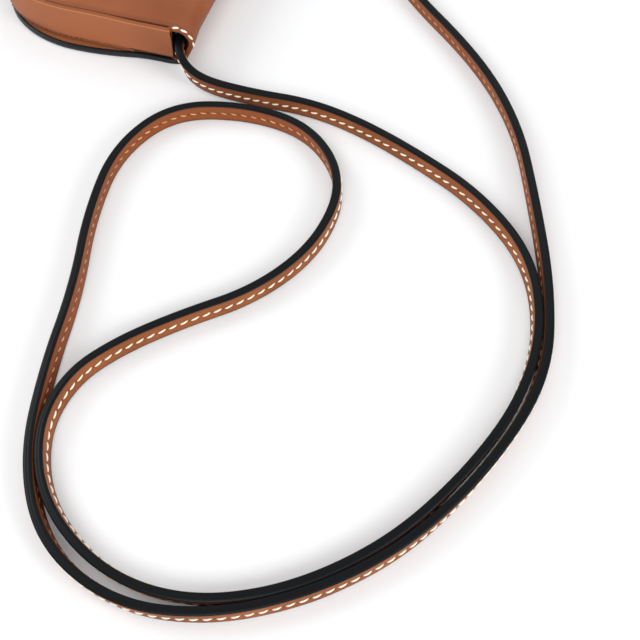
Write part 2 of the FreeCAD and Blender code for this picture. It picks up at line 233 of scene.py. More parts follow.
# the seam's thread: a brown made very dark, partly painted shade under the gusset's edge
brownThread = thread("brownThread", {"light": "4A2413", "dark": "28120A", "faded": "3E1D10", "sinkShadeShare": 0.4,
                                     "fade": 0.3})
satinSteel = metal("satinSteel", {"dark": "8E8E90", "light": "B8B8BA", "rough": 0.28})
nickelPlate = metal("nickelPlate", {"dark": "A6A49E", "light": "C8C6C0", "rough": 0.2})
print("materials: ready")

# ---- meshes ----

sharpAngle = math.radians(50)
cornerSlack = 1 - math.sqrt(0.5)  # share of a round corner that lies past its middle
# a leaf's edge: angles of its rings, flat border past them, depth of the darker rim, and the blend of its paint
leafSize = {"turns": [0, 25, 50, 72, 90], "border": 0.5, "inside": 9.0, "rimReach": 2.5, "paintBlend": 1.0}
thumbReach = 11.0
seamSlip = 1e-6  # how close to a seam a point counts as on it


def finishMesh(name, points, faces, material, body, slot=None, nodes=(), facts=None):
    # points in mm and faces as index rows; the closed shells get their normals turned outwards
    mesh = bpy.data.meshes.new(name)
    mesh.from_pydata((np.asarray(points) * mm).tolist(), [], faces)
    for key, values in (facts or {}).items():
        flat = np.asarray(values, np.float32).ravel()
        mesh.attributes.new(key, "FLOAT", "POINT").data.foreach_set("value", flat)
    work = bmesh.new()
    work.from_mesh(mesh)
    bmesh.ops.recalc_face_normals(work, faces=work.faces)
    work.to_mesh(mesh)
    work.free()
    mesh.shade_smooth()
    mesh.set_sharp_from_angle(angle=sharpAngle)
    mesh.materials.append(material)
    piece = bpy.data.objects.new(name, mesh)
    bpy.context.scene.collection.objects.link(piece)
    if isinstance(body, str):
        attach(piece, body)
    else:
        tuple(body[0])
        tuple(body[1])
        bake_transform(piece)
    if nodes:
        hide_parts(*nodes)
    return piece


def smooth(x, low, high):
    t = np.clip((x - low) / (high - low), 0, 1)
    return t * t * (3 - 2 * t)


def between(first, second, share):
    return first + (second - first) * share


def unit(vectors):
    return vectors / np.linalg.norm(vectors, axis=1)[:, None]


def runOf(line):
    # distance along a line at each of its points
    return np.concatenate([[0], np.cumsum(np.linalg.norm(np.diff(line, axis=0), axis=1))])


def pointsAt(line, run, places):
    return np.stack([np.interp(places, run, line[:, i]) for i in range(line.shape[1])], 1)


def aheadAt(line, run, places, gap):
    return unit(pointsAt(line, run, places + gap) - pointsAt(line, run, places - gap))


def strips(first, second):
    # quads between two rows of vertex numbers
    return np.stack([first[:-1], first[1:], second[1:], second[:-1]], 1).tolist()


def cells(ids):
    # quads of one or more grids of vertex numbers
    corners = [ids[..., :-1, :-1], ids[..., :-1, 1:], ids[..., 1:, 1:], ids[..., 1:, :-1]]
    return np.stack(corners, -1).reshape(-1, 4).tolist()


def tube(rings):
    # rings is (count, around, 3); each ring joins the next, and each end is closed by strips across it
    count, around = rings.shape[:2]
    ids = np.arange(count * around).reshape(count, around)
    faces = cells(np.concatenate([ids, ids[:, :1]], 1))
    half = around // 2
    for ring in (ids[0], ids[-1]):
        faces += strips(ring[:half], ring[::-1][:half])
    return rings.reshape(-1, 3), faces


def insetLoop(loop, distance):
    # each point moves inwards along the mitre of its two edges
    ahead = unit(np.roll(loop, -1, 0) - loop)
    back = np.roll(ahead, 1, 0)
    inAhead = np.stack([ahead[:, 1], -ahead[:, 0]], 1)
    inBack = np.stack([back[:, 1], -back[:, 0]], 1)
    spread = 1 + (inAhead * inBack).sum(1)
    return loop + (inAhead + inBack) / spread[:, None] * distance


def patch(loop, ends, sides):
    # Coons patch: the two blends of facing edges added, less the blend of the four corners
    top = loop[:ends + 1]
    right = loop[ends:ends + sides + 1]
    low = loop[ends + sides:2 * ends + sides + 1][::-1]
    left = np.concatenate([loop[2 * ends + sides:], loop[:1]])[::-1]
    u = np.linspace(0, 1, ends + 1)[None, :, None]
    v = np.linspace(0, 1, sides + 1)[:, None, None]
    alongSides = (1 - u) * left[:, None] + u * right[:, None]
    alongEnds = (1 - v) * top[None] + v * low[None]
    corners = (1 - v) * ((1 - u) * top[0] + u * top[-1]) + v * ((1 - u) * low[0] + u * low[-1])
    return alongSides + alongEnds - corners


def sheet(name, outline, place, thick, material, body, slot, nodes, seam=None, paintAndShadePast=None):
    # a leaf of leather: rings round a rounded edge, then a patch, on both faces
    loop, ends, sides = outline["loop"], outline["ends"], outline["sides"]
    radius = thick / 2
    steps = [(radius * (1 - math.cos(t)), radius * math.sin(t)) for t in np.radians(leafSize["turns"])]
    steps.append((radius + leafSize["border"], radius))
    count = len(loop)
    numbers = np.arange((sides + 1) * (ends + 1)).reshape(sides + 1, ends + 1)
    border = np.concatenate([numbers[0, :-1], numbers[:-1, -1], numbers[-1, ::-1][:-1], numbers[::-1, 0][:-1]])
    points, inwards, faces = [], [], []
    for face in (1, -1):
        rings = []
        for distance, lift in steps:
            flat = insetLoop(loop, distance)
            if seam is not None:
                flat[np.abs(loop[:, 1] - seam) < seamSlip, 1] = seam
            rings.append((flat, radius - lift * face, distance))
        start = sum(len(p) for p in points)
        ringIds = [] if face > 0 else [np.arange(count)]  # both faces share the first ring
        for flat, depth, distance in rings[len(ringIds):-1]:
            ringIds.append(start + np.arange(count))
            start += count
            points.append(place(flat[:, 0], flat[:, 1], np.full(count, depth)))
            inwards.append(np.full(count, distance))
        flat, depth, distance = rings[-1]
        inner = patch(flat, ends, sides)
        points.append(place(inner[..., 0].ravel(), inner[..., 1].ravel(), np.full(numbers.size, depth)))
        deep = np.full(numbers.size, leafSize["inside"])
        deep[border] = distance
        inwards.append(deep)
        ringIds.append(start + border)
        for first, second in zip(ringIds, ringIds[1:]):
            faces += strips(np.append(first, first[0]), np.append(second, second[0]))
        faces += cells(start + numbers)
    points = np.concatenate(points)
    facts = {"rim": np.clip(1 - np.concatenate(inwards) / leafSize["rimReach"], 0, 1)}
    # painted black past this distance from the middle: on the fold lining partly edge paint turned inside and
    # partly painted shade in the dark mouth of the fold, on the tabs painted shade
    if paintAndShadePast:
        facts["paint"] = smooth(np.abs(points[:, 0]), paintAndShadePast - leafSize["paintBlend"], paintAndShadePast)
    return finishMesh(name, points, faces, material, body, slot, nodes, facts)


def uOutline(shape):
    # one clockwise loop: elliptical corners at the foot, sides that may bow, a head that may dip or be notched
    across, up = shape["corner"]
    foot, head, ends = shape["foot"], shape["head"], shape["ends"]
    half = shape["half"] if callable(shape["half"]) else lambda b: shape["half"]

    def halfAt(b):
        low = np.clip((foot + up - b) / up, 0, 1)
        return half(b) - across * (1 - np.sqrt(1 - low ** 2))

    stations = (shape["stations"] if "stations" in shape
                else np.linspace(foot + up * cornerSlack, head, shape["sides"] + 1))
    side = halfAt(stations)
    a = np.linspace(-side[0], side[0], ends + 1)
    out = np.clip((np.abs(a) - (side[0] + across * cornerSlack - across)) / across, 0, 1)
    footLine = np.stack([a, foot + up * (1 - np.sqrt(1 - out ** 2))], 1)
    footLine[0, 1] = footLine[-1, 1] = stations[0]
    t = np.linspace(-1, 1, ends + 1)
    a = t * side[-1]
    dip = shape.get("dip", 0.0) * (1 - t ** 2)
    notch = shape.get("notch", 0.0) * 0.5 * (1 + np.cos(np.pi * np.clip(a / thumbReach, -1, 1)))
    headLine = np.stack([a, head - dip - notch], 1)
    right = np.stack([side, stations], 1)
    left = np.stack([-side, stations], 1)
    loop = np.concatenate([headLine[:-1], right[::-1][:-1], footLine[::-1][:-1], left[:-1]])
    return {"loop": loop, "ends": ends, "sides": len(stations) - 1}


def flatAt(low, thick):
    # a level leaf whose lower face is at this height; depth runs down from its top face
    return lambda a, b, depth: np.stack([a, b, low + thick - depth], 1)


# ---- the strap ----

strapSize = {"width": 6.5, "thick": 2.65, "step": 0.66, "edgeRound": 0.3, "directionGap": 0.4, "order": 3,
             "curveSteps": 30, "pathStep": 3}
# the row of stitches, its needle holes, and where the edge's paint and the darker rim beside it begin
rowSize = {"pitch": 3.5, "firstPitch": 3.0, "closeTo": (20.0, 70.0), "from": 11.0, "endCount": 3.0, "dimple": 0.09,
           "dimpleReach": 0.7, "covered": 0.6, "paintFrom": 2.85, "rimFrom": 2.3, "rimBlend": 0.5}
lie = strapSize["width"] / 2
# middle of the strap: its near end in the wallet, the run that the photograph shows, and a short way back
route = [(46.0, 33.2, 9.2), (56.2, 34.6, 9.5), (64.6, 37.2, 8.3), (68.4, 45.4, 3.9)]
route += [(x, y, lie) for x, y in [
    (68.7, 66.0), (67.6, 84.0), (71.0, 102.1), (78.2, 122.6), (89.4, 147.2), (107.9, 167.7), (133.0, 176.9),
    (158.0, 176.0), (183.9, 167.0), (208.3, 152.9), (228.1, 131.4), (238.5, 107.0), (236.3, 82.5), (222.7, 61.0),
    (203.5, 50.5), (185.5, 51.1), (171.9, 59.7), (157.7, 74.1), (142.2, 93.4), (120.7, 105.1), (96.0, 105.4),
    (78.0, 89.1), (74.3, 65.9), (81.0, 40.7), (103.0, 29.9), (130.0, 32.6), (157.0, 40.1), (185.0, 43.8),
    (212.7, 50.8), (234.3, 66.2), (243.8, 91.0), (239.3, 115.9), (225.4, 139.2), (205.7, 158.8), (177.6, 173.7),
    (147.0, 181.6), (117.6, 175.7), (86.2, 163.8), (58.2, 151.7), (33.3, 132.4), (5.0, 98.3), (-13.0, 85.0),
    (-38.0, 76.5), (-57.0, 72.5), (-67.5, 63.5),
]]
route += [(-68.0, 45.0, 3.9), (-63.8, 37.0, 8.3), (-56.2, 34.6, 9.5), (-46.0, 33.2, 9.2)]
# how far the strap's top leans to the right of its way, in degrees, at each point of the route
leans = [
    0, -13, 14, 8, 3, 0, -2, -6, -10, -8, -7, -9, -12, -6, -6, -14, -12, -10, -9, -10, -7, -4, -2, -4, -1, 2, 4,
    2, 0, 1, 6, 9, 9, 8, 8, 3, 0, 4, 14, 11, 7, 5, 0, -3, -2, 0, 0, 0, 0, 0, 4, 8, 0,
]


def readSpline(name, points):
    # the middle line of a smooth curve through space, as Blender itself works it out
    curve = bpy.data.curves.new(name, "CURVE")
    curve.dimensions = "3D"
    spline = curve.splines.new("NURBS")
    spline.points.add(len(points) - 1)
    for point, place in zip(spline.points, points):
        point.co = (*[p * mm for p in place], 1.0)
    spline.order_u = strapSize["order"]
    spline.use_endpoint_u = True
    spline.resolution_u = strapSize["curveSteps"]
    holder = bpy.data.objects.new(name, curve)
    bpy.context.scene.collection.objects.link(holder)
    bpy.context.view_layer.update()
    mesh = bpy.data.meshes.new_from_object(holder.evaluated_get(bpy.context.evaluated_depsgraph_get()))
    line = np.zeros(len(mesh.vertices) * 3)
    mesh.vertices.foreach_get("co", line)
    bpy.data.meshes.remove(mesh)
    bpy.data.objects.remove(holder)
    bpy.data.curves.remove(curve)
    return line.reshape(-1, 3) / mm


def strapFrames(line, places):
    # place, direction, width direction and right-hand direction at each distance along the strap
    run = runOf(line)
    share = np.linspace(0, len(route) - 2, len(line))
    lean = np.interp(places, run, np.radians(np.interp(share, np.arange(len(route)) - 0.5, leans)))
    here = pointsAt(line, run, places)
    along = aheadAt(line, run, places, strapSize["directionGap"])
    up = unit(np.array([0.0, 0.0, 1.0]) - along[:, 2:3] * along)
    right = np.cross(along, up)
    cos, sin = np.cos(lean)[:, None], np.sin(lean)[:, None]
    wide = up * cos + right * sin
    out = right * cos - up * sin
    here -= right * sin * strapSize["width"] / 2  # the top edge stays over the route
    halfThick = strapSize["thick"] / 2 - strapSize["edgeRound"]
    rest = np.abs(wide[:, 2]) * strapSize["width"] / 2 + np.abs(out[:, 2]) * halfThick
    here[:, 2] = np.maximum(here[:, 2], rest)  # a leaning strap stands on its lower corner
    return here, along, wide, out


strapLine = readSpline("strapRoute", route)
strapLength = float(np.linalg.norm(np.diff(strapLine, axis=0), axis=1).sum())
places = np.linspace(0, strapLength, int(strapLength / strapSize["step"]) + 1)
here, along, wide, out = strapFrames(strapLine, places)
strapMiddle = here[::strapSize["pathStep"]]

# right half of the section from the bottom edge to the top one: out from the middle, up from the middle
halfSection = np.array([
    (0.0, -3.2), (0.14, -3.245), (0.45, -3.25), (0.85, -3.19), (1.12, -3.08), (1.28, -2.94), (1.33, -2.86),
    (1.3, -2.78), (1.325, -2.55), (1.335, -2.0), (1.335, -1.3), (1.325, -0.7), (1.3, -0.32), (1.225, 0.0),
    (1.3, 0.32), (1.325, 0.7), (1.335, 1.3), (1.335, 2.0), (1.325, 2.55), (1.3, 2.78), (1.33, 2.86),
    (1.28, 2.94), (1.12, 3.08), (0.85, 3.19), (0.45, 3.25), (0.14, 3.245), (0.0, 3.2),
])
section = np.concatenate([halfSection[:-1], halfSection[::-1][:-1] * (-1, 1)])
sectionOut, sectionUp = section[:, 0], section[:, 1]
# the row is sewn a little closer near the wallet: each step is the pitch at its own place
pitches = between(rowSize["firstPitch"], rowSize["pitch"], smooth(places, *rowSize["closeTo"]))
stitchCount = np.cumsum(strapSize["step"] / pitches) - rowSize["from"] / rowSize["firstPitch"]
rowPlaces = np.interp(np.arange(0.5, stitchCount[-1] - rowSize["endCount"]), stitchCount, places)
# 1 at the middle of a stitch, 0 at a needle hole, where the leather is drawn in
beat = (0.5 - 0.5 * np.cos(2 * np.pi * stitchCount))[:, None]
sunk = np.clip(1 - np.abs(sectionUp) / rowSize["dimpleReach"], 0, 1) * (1 - beat) * rowSize["dimple"]
outward = sectionOut - np.sign(sectionOut) * sunk
rings = here[:, None] + out[:, None] * outward[..., None] + wide[:, None] * sectionUp[None, :, None]
points, faces = tube(rings)
# darker beside the painted edges, and along the needle holes between the stitches
rimShare = (np.clip((np.abs(sectionUp) - rowSize["rimFrom"]) / rowSize["rimBlend"], 0, 1)
            + (sectionUp == 0) * (1 - rowSize["covered"] * beat))
isPaint = np.broadcast_to(np.abs(sectionUp) > rowSize["paintFrom"], outward.shape)
otherSide = np.broadcast_to(sectionOut < 0, outward.shape)
strapBody = finishMesh("strapBody", points, faces, strapLeather, "pouch", "strap_leather", ["strap"],
                       {"paint": isPaint, "rim": rimShare, "tone": otherSide})
print("strap: %.1f mm long, %d faces" % (strapLength, len(faces)))

stitchForm = {"rings": 8, "around": 8, "blunt": 2.4, "tip": 0.12, "sinkShadePower": 3}


def stitches(name, size, here, along, across, outward, material):
    # plump lenses: the radius falls as the root of 1 - x^blunt to both ends, which sink as x^2
    count, ringCount, around = len(here), stitchForm["rings"], stitchForm["around"]
    x = np.linspace(-1, 1, ringCount)
    girth = np.sqrt(np.clip(1 - np.abs(x) ** stitchForm["blunt"], 0, 1))
    girth[0] = girth[-1] = stitchForm["tip"]
    turn = np.linspace(0, 2 * np.pi, around + 1)[:-1]
    slant = math.radians(size["slant"])
    lengthwise = along * math.cos(slant) + across * math.sin(slant)
    sideways = across * math.cos(slant) - along * math.sin(slant)
    lift = size["proud"] - size["sink"] * x ** 2
    bend = size["curl"] * np.sin(x * np.pi / 2)
    middle = (here[:, None] + lengthwise[:, None] * (x * size["long"] / 2)[None, :, None]
              + sideways[:, None] * bend[None, :, None] + outward[:, None] * lift[None, :, None])
    wideR = size["wide"] / 2 * girth[:, None] * np.cos(turn)[None]
    highR = size["high"] / 2 * girth[:, None] * np.sin(turn)[None]
    rings = (middle[:, :, None] + sideways[:, None, None] * wideR[None, :, :, None]
             + outward[:, None, None] * highR[None, :, :, None])
    ids = np.arange(count * ringCount * around).reshape(count, ringCount, around)
    faces = cells(np.concatenate([ids, ids[:, :, :1]], 2)) + ids[:, 0, ::-1].tolist() + ids[:, -1].tolist()
    # painted shade: 1 at both ends of each stitch, where it sinks into its hole, 0 in its middle
    sinkShade = np.broadcast_to((np.abs(x) ** stitchForm["sinkShadePower"])[None, :, None], ids.shape)
    return finishMesh(name, rings.reshape(-1, 3), faces, material, "pouch", facts={"sinkShade": sinkShade})


here, along, wide, out = strapFrames(strapLine, rowPlaces)
paleSize = {"long": 2.8, "wide": 0.62, "high": 0.58, "slant": 9.0, "curl": 0.08, "proud": 0.08, "sink": 0.22}
dimSize = dict(paleSize, long=2.4, wide=0.43, high=0.42, proud=0.02)
toFace = out * (strapSize["thick"] / 2)
paleStitches = stitches("paleStitches", paleSize, here + toFace, along, wide, out, creamThread)
dimStitches = stitches("dimStitches", dimSize, here - toFace, along, wide, -out, amberThread)
(strapMiddle * mm).tolist()
print("strap stitches: %d on each face" % len(rowPlaces))

# ---- the wallet's outer leather ----

body = {"half": 59.0, "foldY": 31.25, "nose": 40.0, "thick": 17.5, "foot": -39.5, "corner": (19.5, 34.5),
        "panel": 1.2, "lining": 0.6, "glue": 0.05, "gussetEnd": 32.9}
# radii of the fold's two arcs and samples round them, and the flare of the mouth at each end
foldSize = {"corner": 4.6, "foot": 3.0, "footReach": 0.75, "cornerSteps": 60, "footSteps": 30, "samples": 281,
            "flareFrom": 49.0, "flareTop": 0.35, "flareLow": 0.95, "flareStarts": (0.0, 4.0),
            "flareGrows": (8.0, 15.0), "flareStops": (5.0, 0.8)}


def foldArc():
    # level run, large arc at the nose, straight run tangent to both arcs, small arc at the foot, level run
    corner, foot = foldSize["corner"], foldSize["foot"]
    topY, topZ = body["nose"] - corner, body["thick"] - corner
    footY, footZ = body["foldY"] + foldSize["footReach"], foot
    span = math.hypot(topY - footY, topZ - footZ)
    tuck = math.acos((foot - corner) / span) - math.atan2(topZ - footZ, topY - footY)
    upper = np.linspace(math.pi / 2, -tuck, foldSize["cornerSteps"])
    lower = np.linspace(-tuck, -math.pi / 2, foldSize["footSteps"])
    y = np.concatenate([[body["foldY"]], topY + corner * np.cos(upper), footY + foot * np.cos(lower),
                        [body["foldY"]]])
    z = np.concatenate([[body["thick"]], topZ + corner * np.sin(upper), footZ + foot * np.sin(lower), [0.0]])
    run = np.concatenate([[0], np.cumsum(np.hypot(np.diff(y), np.diff(z)))])
    even = np.linspace(0, run[-1], foldSize["samples"])
    y, z = np.interp(even, run, y), np.interp(even, run, z)
    dy, dz = np.gradient(y), np.gradient(z)
    size = np.hypot(dy, dz)
    return even, y, z, dz / size, -dy / size


arcRun, arcY, arcZ, arcInY, arcInZ = foldArc()
foldRun = arcRun[-1]


def aroundFold(a, s, depth):
    # s is 0 where the back meets the fold and grows round it to the flap; depth goes in from the outer face
    # the mouth at each end flares out a little, more at the front than at the back
    stopFrom, stopTo = foldSize["flareStops"]
    swell = between(foldSize["flareTop"], foldSize["flareLow"], smooth(s, *foldSize["flareGrows"]))
    swell = swell * smooth(s, *foldSize["flareStarts"]) * (1 - smooth(s, foldRun - stopFrom, foldRun - stopTo))
    depth = depth - swell * smooth(np.abs(a), foldSize["flareFrom"], body["half"])
    y = np.interp(s, arcRun, arcY) + np.minimum(s, 0) - np.maximum(s - foldRun, 0)
    z = np.interp(s, arcRun, arcZ)
    return np.stack([a, y + depth * np.interp(s, arcRun, arcInY), z + depth * np.interp(s, arcRun, arcInZ)], -1)


hingeSpan = [(0.0, 0.0334, 0.0), (0.0, 0.0273, 0.0)]
seamRun = foldRun - 5.2  # the fold's leaf ends and the flap's begins in front of the hinge
# two slow waves in the back: height, lengths across and along, and phase
ripples = ((0.06, 19.0, 31.0, 0.0), (0.05, 41.0, -17.0, 1.0))
rippleShare = 0.6

# back and fold: drawn in beside the gusset's border, full width where it rounds over
backSize = {"border": 1.15, "headInset": 0.35, "headRise": (1.3, 2.4), "ends": 64, "backSteps": 50, "foldSteps": 46}


def backPlace(a, s, depth):
    # a hand-made leaf is never quite flat
    wave = sum(high * np.sin(a / across + s / along + phase) for high, across, along, phase in ripples)
    return aroundFold(a, s, depth + wave * rippleShare)


def backWidth(s):
    narrow, full = body["half"] - backSize["border"], body["half"] - backSize["headInset"]
    return between(narrow, full, smooth(s, *backSize["headRise"]))


backFoot = body["foot"] + backSize["border"] - body["foldY"]
backCorner = (body["corner"][0] - backSize["border"], body["corner"][1] - backSize["border"])
backStations = np.concatenate([
    np.linspace(backFoot + backCorner[1] * cornerSlack, 0.0, backSize["backSteps"])[:-1],
    np.linspace(0.0, seamRun, backSize["foldSteps"])])
backOutline = uOutline({"corner": backCorner, "foot": backFoot, "head": seamRun, "ends": backSize["ends"],
                        "stations": backStations, "half": backWidth})
sheet("backLeather", backOutline, backPlace, body["panel"], tanLeather, "pouch", "tan_leather",
      ["back_panel", "top_fold"], seam=seamRun)

# flap: from the underside of the fold to the round flap, with sides that bow out
flapSize = {"wide": 61.8, "foot": -40.0, "corner": (26.0, 35.0), "neck": 5.2, "bowShare": 0.64, "steepest": 0.9,
            "bead": 0.85, "underBead": 0.1, "lining": 0.8, "ends": 64, "fineFrom": 6.0, "steps": 40,
            "fineSteps": 26}
flapFootRun = foldRun + body["foldY"] - flapSize["foot"]
flapSeam = flapFootRun - seamRun
liningDepth = body["panel"] + body["glue"]


def flapHalf(inset):
    # straight neck, an arc that swings out, then an arc to the widest point where the round corners begin
    drop = body["foldY"] - flapSize["neck"] - flapSize["foot"] - flapSize["corner"][1]
    bulge = flapSize["wide"] - body["half"]
    both = (drop * drop + bulge * bulge) / (2 * bulge)
    bow, sweep = flapSize["bowShare"] * both, (1 - flapSize["bowShare"]) * both

    def at(back):
        s = flapFootRun - back  # back runs from the flap's foot to the fold
        down = np.clip(s - foldRun - flapSize["neck"], 0, drop)
        swung = body["half"] + sweep - np.sqrt(sweep ** 2 - np.minimum(down, sweep * flapSize["steepest"]) ** 2)
        bowed = flapSize["wide"] - bow + np.sqrt(bow ** 2 - (drop - down) ** 2)
        return np.where(down < drop * (1 - flapSize["bowShare"]), swung, bowed) - inset
    return at


def flapOutline(inset, ends):
    # measured backwards from the flap's foot, so that the foot is the round end
    corner = (flapSize["corner"][0] - inset, flapSize["corner"][1] - inset)
    fine = flapFootRun - foldRun - flapSize["fineFrom"]
    stations = np.concatenate([np.linspace(inset + corner[1] * cornerSlack, fine, flapSize["steps"])[:-1],
                               np.linspace(fine, flapSeam, flapSize["fineSteps"])])
    return uOutline({"corner": corner, "foot": inset, "head": flapSeam, "ends": ends, "stations": stations,
                     "half": flapHalf(inset)})


def fromFlapFoot(a, back, depth):
    return aroundFold(a, flapFootRun - back, depth)


def lined(place):
    # the leaf that lies behind the outer leather
    return lambda a, s, depth: place(a, s, depth + liningDepth)


sheet("flapLeather", flapOutline(flapSize["bead"] - flapSize["underBead"], flapSize["ends"]), fromFlapFoot,
      body["panel"], tanLeather, hingeSpan, "tan_leather", ["flap_panel"], seam=flapSeam)
sheet("flapLining", flapOutline(flapSize["bead"] + flapSize["underBead"], flapSize["ends"]), lined(fromFlapFoot),
      flapSize["lining"], liningLeather, hingeSpan, "lining_leather", ["flap_lining"], seam=flapSeam)
# the fold lining's ends are painted black: partly edge paint, partly painted shade in the mouth of the fold
foldLiningSize = {"corner": (0.2, 0.2), "foot": 0.1, "first": 0.16, "inset": 2.6, "ends": 40, "steps": 50,
                  "paintAndShadePast": 50.0}
foldLiningOutline = uOutline({
    "corner": foldLiningSize["corner"], "foot": foldLiningSize["foot"], "head": seamRun,
    "ends": foldLiningSize["ends"], "half": body["half"] - foldLiningSize["inset"],
    "stations": np.linspace(foldLiningSize["first"], seamRun, foldLiningSize["steps"])})
sheet("foldLining", foldLiningOutline, lined(aroundFold), body["lining"], liningLeather, "pouch", "lining_leather",
      ["fold_lining"], seam=seamRun, paintAndShadePast=foldLiningSize["paintAndShadePast"])

# bead over an edge: how square its round side is, and its back, as shares of its reach and of its half depth
beadSize = {"turns": 13, "square": 0.72, "paintDepth": 0.9, "paintRise": (6.0, 9.0)}
beadBack = np.array([(-0.55, 1.0), (-0.8, 0.6), (-0.8, 0.2), (-0.8, -0.2), (-0.8, -0.6), (-0.55, -1.0),
                     (-0.3, -1.0)])


def beadAlong(name, a, s, outA, outS, reach, low, high, material, body):
    # half-round bead laid over an edge: out is in the leaf's plane, depth goes through it, all given per point
    turn = np.radians(np.linspace(-90, 90, beadSize["turns"]))
    cos, sin = np.cos(turn), np.sin(turn)
    shareOut = np.concatenate([np.abs(cos) ** beadSize["square"], beadBack[:, 0]])
    shareDepth = np.concatenate([np.sign(sin) * np.abs(sin) ** beadSize["square"], beadBack[:, 1]])
    o = reach[:, None] * shareOut[None]
    depth = ((low + high) / 2)[:, None] + ((high - low) / 2)[:, None] * shareDepth[None]
    points, faces = tube(aroundFold(a[:, None] + outA[:, None] * o, s[:, None] + outS[:, None] * o, depth))
    paint = (shareDepth[None] > beadSize["paintDepth"]) * smooth(s, *beadSize["paintRise"])[:, None]
    return finishMesh(name, points, faces, material, body, "tan_leather", (), {"paint": paint})


# the flap's painted edge, thin where it comes out of the fold: reach, upper face and lower face
edgeSize = {"ends": 96, "grows": (-3.5, 1.5), "thinReach": 0.12, "shy": 0.02, "thinLow": 0.25, "lowDrop": 0.24,
            "over": 0.06}


def flapEdgeLine():
    # the flap's outline from the fold on one side, round the foot, to the fold on the other
    outline = flapOutline(flapSize["bead"], edgeSize["ends"])
    line = np.concatenate([outline["loop"][outline["ends"]:], outline["loop"][:1]])
    ahead = unit(np.gradient(line, axis=0))
    return line[:, 0], flapFootRun - line[:, 1], -ahead[:, 1], -ahead[:, 0]


edgeA, edgeS, edgeOutA, edgeOutS = flapEdgeLine()
taper = smooth(edgeS, foldRun + edgeSize["grows"][0], foldRun + edgeSize["grows"][1])
edgeReach = between(edgeSize["thinReach"], flapSize["bead"] - edgeSize["shy"], taper)
edgeLow = edgeSize["thinLow"] - edgeSize["lowDrop"] * taper
edgeHigh = between(body["panel"], liningDepth + flapSize["lining"] + edgeSize["over"], taper)
beadAlong("flapEdge", edgeA, edgeS, edgeOutA, edgeOutS, edgeReach, edgeLow, edgeHigh, edgePaint, hingeSpan)

# turned rims at both ends of the fold, with their plump stitches
rimSize = {"from": 1.2, "past": 0.1, "steps": 70, "inset": 0.35, "reach": 0.34, "least": 0.3, "rise": 1.2,
           "fall": 2.5, "fallShare": 0.5, "low": -0.02, "depth": 1.8}
rimRow = {"from": 3.8, "to": 14.0, "pitch": 2.9, "inset": 0.25, "gap": 0.2, "outShare": 0.75, "sideShare": 0.66}
rimStitch = {"long": 2.5, "wide": 0.76, "high": 0.7, "slant": 5.0, "curl": 0.06, "proud": 0.14, "sink": 0.3}
for side, end in ((1, "near"), (-1, "far")):
    s = np.linspace(rimSize["from"], seamRun + rimSize["past"], rimSize["steps"])
    same = np.ones(len(s))
    swell = (smooth(s, rimSize["from"], rimSize["from"] + rimSize["rise"])
             * (1 - smooth(s, seamRun - rimSize["fall"], seamRun + rimSize["past"]) * rimSize["fallShare"]))
    beadAlong("foldRim_" + end, same * side * (body["half"] - rimSize["inset"]), s, same * side, same * 0,
              rimSize["reach"] * between(rimSize["least"], 1.0, swell), same * rimSize["low"],
              same * rimSize["depth"], tanLeather, "pouch")
    s = np.arange(rimRow["from"], rimRow["to"], rimRow["pitch"])
    a = np.full(len(s), side * (body["half"] - rimRow["inset"]))
    here = aroundFold(a, s, 0.0)
    along = unit(aroundFold(a, s + rimRow["gap"], rimRow["gap"]) - aroundFold(a, s - rimRow["gap"], rimRow["gap"]))
    inwards = aroundFold(a, s, body["panel"]) - here
    outward = unit(-inwards * rimRow["outShare"] + np.array([side * rimRow["sideShare"], 0, 0]))
    across = np.cross(outward, along) * side
    stitches("rimStitches_" + end, rimStitch, here, along, across, outward, creamThread)
print("outer leather: back, fold, flap, edge and rims")

# ---- gusset, panels, linings, divider and slips ----

turnSteps, aheadGap = 60, 0.3


def pouchPath(inset, end, count):
    # down the near side, round the bottom, up the far side, at equal steps, with outward directions
    x, low = body["half"] - inset, body["foot"] + inset
    across, up = body["corner"][0] - inset, body["corner"][1] - inset
    t = np.radians(np.linspace(0, 90, turnSteps))
    near = np.array([(x, end)])
    arcNear = np.stack([x - across + across * np.cos(t), low + up - up * np.sin(t)], 1)
    line = np.concatenate([near, arcNear, arcNear[::-1] * (-1, 1), near * (-1, 1)])
    run = runOf(line)
    even = np.linspace(0, run[-1], count)
    ahead = aheadAt(line, run, even, aheadGap)
    return pointsAt(line, run, even), np.stack([-ahead[:, 1], ahead[:, 0]], 1), ahead


# section from the front seam up the outside, over the turned border, and down the inside: inwards, height
gussetSection = np.array([
    (0.5, 3.62), (0.12, 3.66), (0.0, 3.9), (-0.01, 4.3), (-0.02, 4.7), (-0.03, 6.0), (-0.05, 8.0), (-0.12, 10.5),
    (-0.24, 13.0), (-0.36, 15.0), (-0.4, 15.8), (-0.38, 16.3), (-0.34, 16.5), (-0.28, 16.66), (-0.2, 16.8),
    (-0.04, 17.02), (0.25, 17.22), (0.58, 17.3), (0.85, 17.26), (1.02, 17.1), (1.1, 16.85), (1.12, 16.6),
    (1.1, 16.42), (1.06, 16.3), (1.03, 16.1), (1.0, 15.6), (1.0, 13.0), (1.0, 10.5), (1.0, 8.0), (1.0, 5.0),
    (0.9, 3.66),
])
gussetLiningSection = np.array([
    (1.05, 3.62), (1.05, 8.0), (1.05, 12.0), (1.06, 16.1), (1.3, 16.18), (1.54, 16.1), (1.55, 12.0), (1.55, 8.0),
    (1.55, 3.66), (1.3, 3.6),
])
